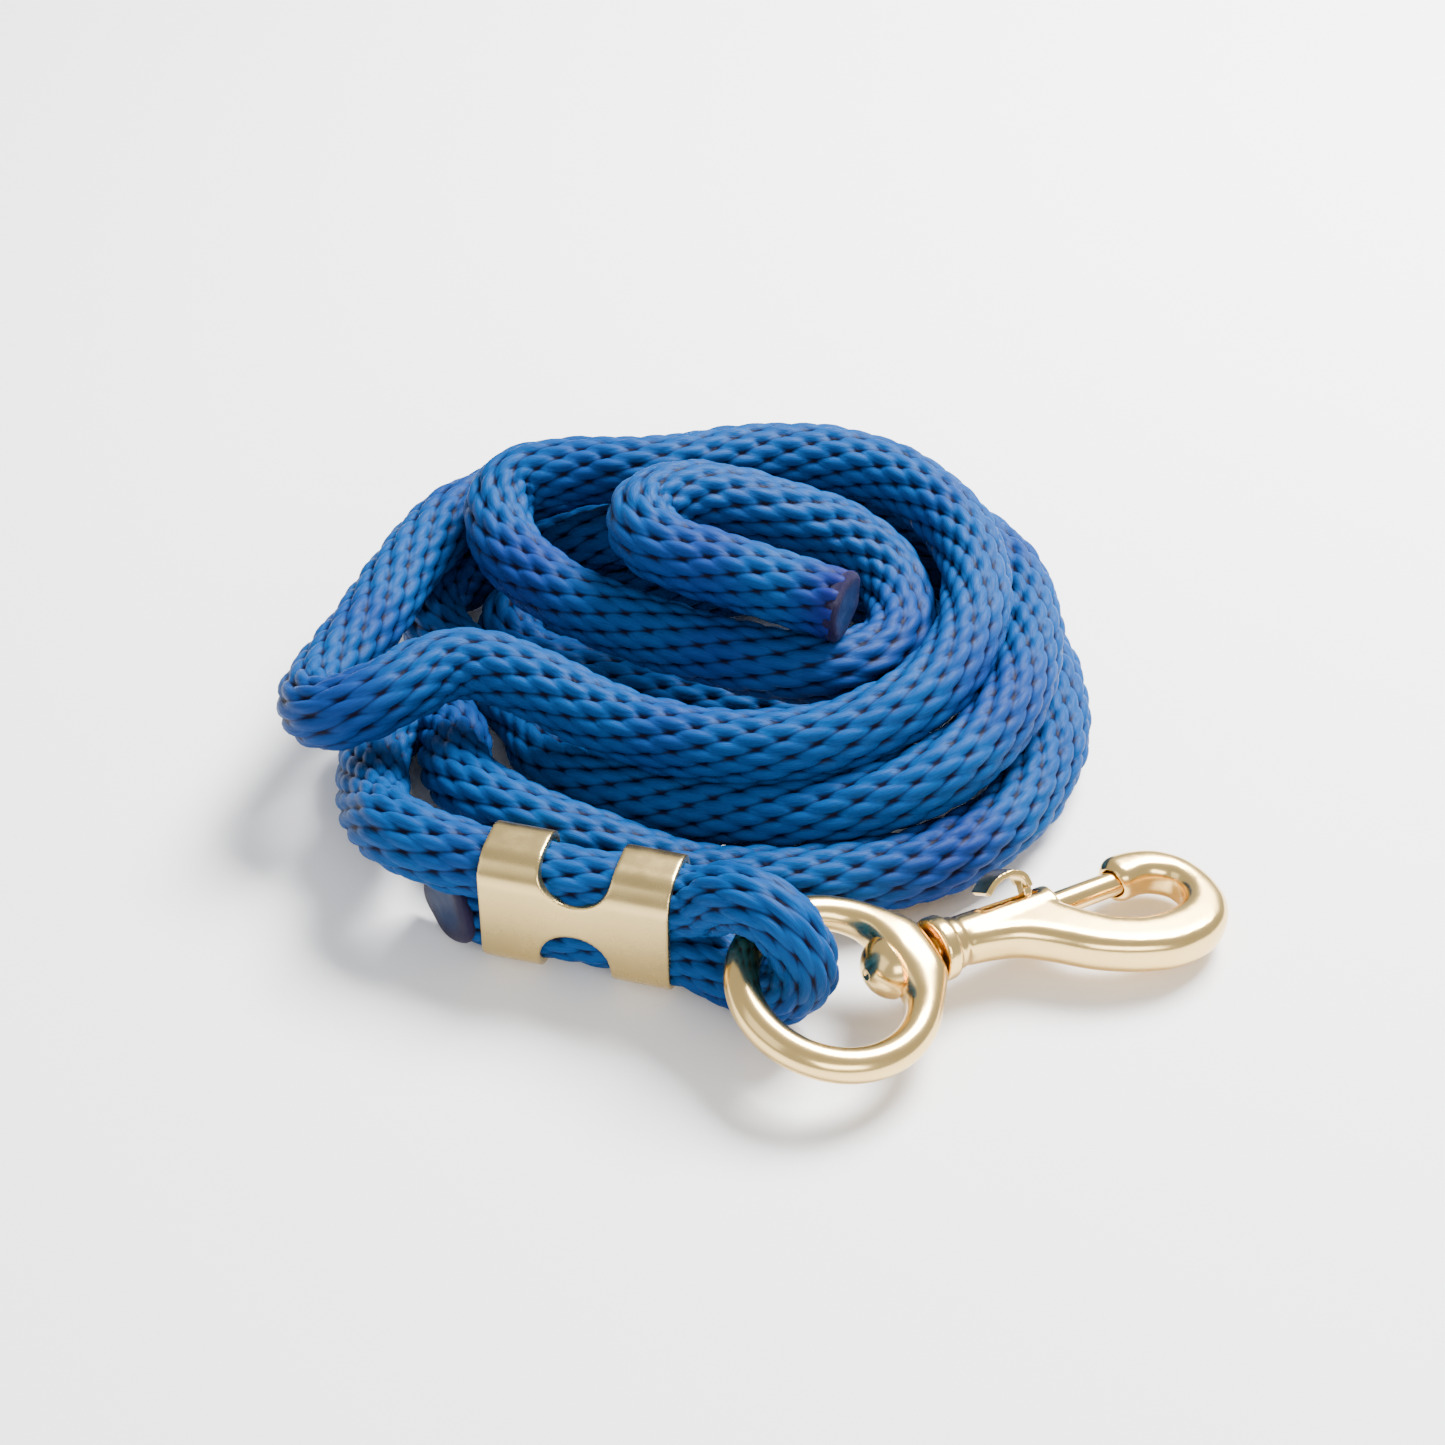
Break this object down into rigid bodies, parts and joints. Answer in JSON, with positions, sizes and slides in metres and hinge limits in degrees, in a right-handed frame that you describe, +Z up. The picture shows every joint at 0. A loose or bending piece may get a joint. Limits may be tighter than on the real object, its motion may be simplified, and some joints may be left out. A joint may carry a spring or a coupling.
{
  "type": "lead rope with swivel bolt snap",
  "caption": "Braided animal lead rope in a loose pile, its end folded through a swivel ring and held by a folded clamp, with a brass bolt snap.",
  "frame": {"origin": "centre of the whole pile's box on the floor", "axes": "+X to the right along the longest side, -Y towards the clamp and the snap, +Z up"},
  "size_m": [0.193, 0.1818, 0.0556],
  "materials": {
    "rope": "satin braided polypropylene",
    "clamp_brass": "brushed brass plate",
    "snap_brass": "polished brass",
    "spring_steel": "plain spring wire"
  },
  "bodies": {
    "rope": {"rope_tail": "rope", "rope_eye": "rope", "rope_lead": "rope", "rope_near_turn": "rope", "rope_floor_loop": "rope", "rope_inner_loop": "rope", "rope_crossing": "rope", "rope_second_loop": "rope", "rope_left_hairpin": "rope", "rope_third_loop": "rope", "rope_top_loop": "rope", "rope_top_end": "rope", "rope_clamp": "clamp_brass"},
    "ring": {"swivel_ring": "snap_brass"},
    "snap": {"swivel_stem": "snap_brass", "hook_body": "snap_brass", "bolt_spring": "spring_steel"},
    "gate": {"bolt": "snap_brass", "thumb_tab": "snap_brass"}
  },
  "joints": [
    {"name": "ring_lift", "type": "hinge", "parent": "rope", "child": "ring", "pos_m": [-0.00031, -0.06435, 0.01824], "axis": [-0.3106, -0.9487, -0.0599], "range_deg": [0, 35]},
    {"name": "snap_swivel", "type": "hinge", "parent": "ring", "child": "snap", "pos_m": [0.01634, -0.06955, 0.01414], "axis": [0.847, 0.523, -0.095], "range_deg": [-130, 130]},
    {"name": "bolt_slide", "type": "slide", "parent": "snap", "child": "gate", "axis": [-0.847, -0.523, 0.095], "range_m": [0, 0.0095], "stiffness_N_per_m": 400, "springref_m": -0.005, "deforming": ["bolt_spring"]}
  ]
}
